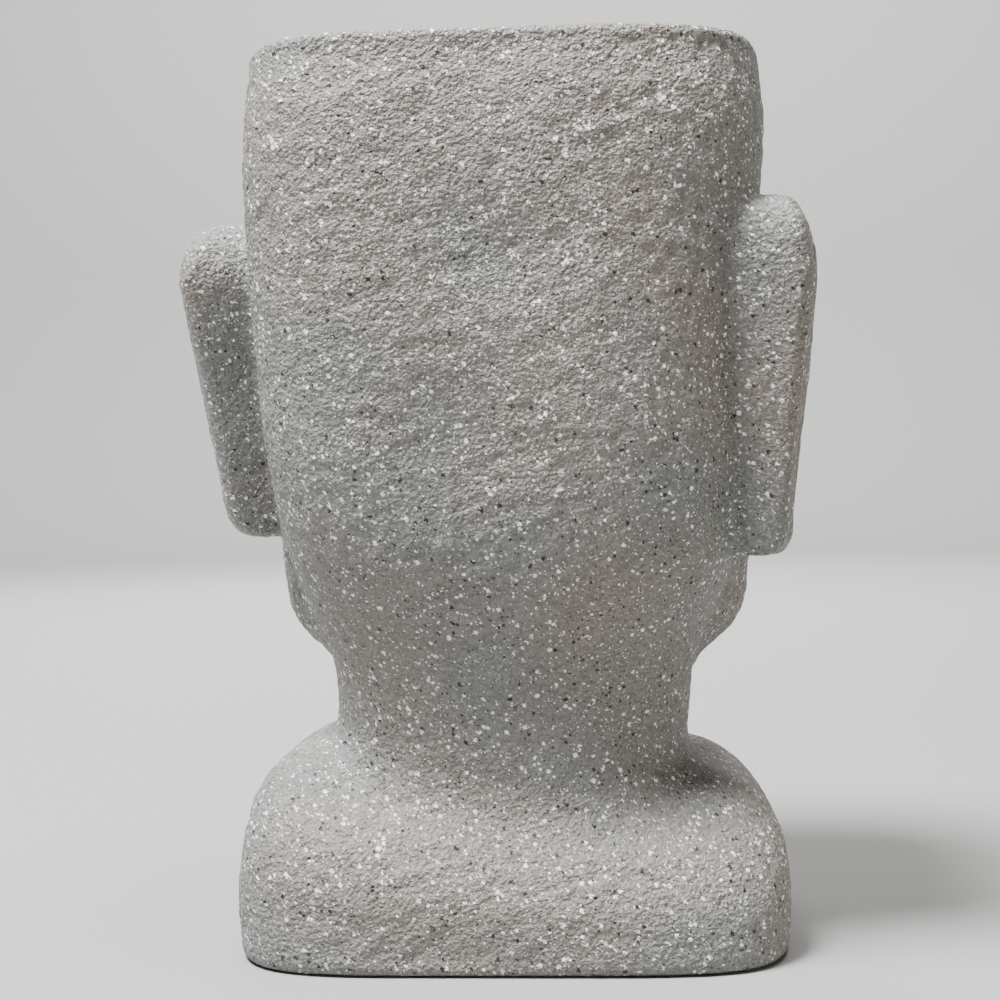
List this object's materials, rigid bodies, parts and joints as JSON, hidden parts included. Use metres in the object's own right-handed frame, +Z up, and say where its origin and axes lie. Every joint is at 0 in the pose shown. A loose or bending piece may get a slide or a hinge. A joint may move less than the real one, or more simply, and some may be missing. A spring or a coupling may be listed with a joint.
{
  "type": "moai head planter",
  "caption": "Hollow cast planter shaped as a moai head on its shoulders, open at the crown, with long slab ears and a drained floor.",
  "frame": {"origin": "on the ground, under the middle of the whole outline", "axes": "+Z up; -Y the way the face looks, +Y the back of the head; +X the figure's left"},
  "size_m": [0.2174, 0.1778, 0.305],
  "materials": {
    "speckled_stoneware": "matte, grey with white and black flecks"
  },
  "bodies": {
    "root": {"moai_head_planter": "speckled_stoneware"}
  },
  "joints": []
}
